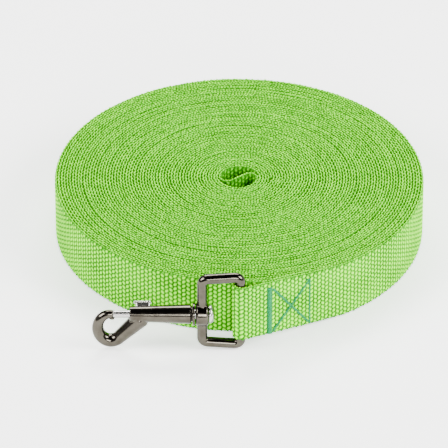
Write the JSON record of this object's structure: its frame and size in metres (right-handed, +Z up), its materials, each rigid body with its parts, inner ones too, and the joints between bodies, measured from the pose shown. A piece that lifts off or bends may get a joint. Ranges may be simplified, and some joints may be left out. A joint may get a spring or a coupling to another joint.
{
  "type": "training leash",
  "caption": "Long flat webbing training leash wound into a round coil, its outer end stitched round the square eye of a swivelling bolt hook.",
  "frame": {"origin": "on the axis of the wound coil, at its base, where the strip across the core stands on the surface", "axes": "+Z up along the coil's axis, -Y towards the side where the strap and the snap lie, -X the way the hook points"},
  "size_m": [0.1499, 0.1644, 0.0358],
  "materials": {
    "webbing": "woven, slightly glossy",
    "thread": "twisted thread, satin",
    "cast_nickel": "polished nickel plate",
    "bright_nickel": "bright nickel plate",
    "spring_steel": "drawn wire"
  },
  "bodies": {
    "lead": {"webbing_coil": "webbing", "webbing_handle": "webbing", "webbing_hook_end": "webbing", "handle_stitching": "thread", "bar_tack": "thread", "cross_stitching": "thread", "end_row_stitching": "thread"},
    "eye": {"swivel_eye": "cast_nickel"},
    "snap": {"snap_body": "cast_nickel", "swivel_rivet": "bright_nickel", "bolt_spring": "spring_steel"},
    "bolt": {"bolt": "bright_nickel", "thumb_stud": "bright_nickel"}
  },
  "joints": [
    {"name": "eye_pivot", "type": "hinge", "parent": "lead", "child": "eye", "pos_m": [0.0006, -0.0852, 0.0174], "axis": [0, 0, 1], "range_deg": [-6, 75]},
    {"name": "swivel", "type": "hinge", "parent": "eye", "child": "snap", "pos_m": [-0.0145, -0.0852, 0.0164], "axis": [1, 0, 0], "continuous": true},
    {"name": "bolt_slide", "type": "slide", "parent": "snap", "child": "bolt", "axis": [1, 0, 0], "range_m": [0, 0.0068], "stiffness_N_per_m": 300, "springref_m": -0.004, "deforming": ["bolt_spring"]}
  ]
}
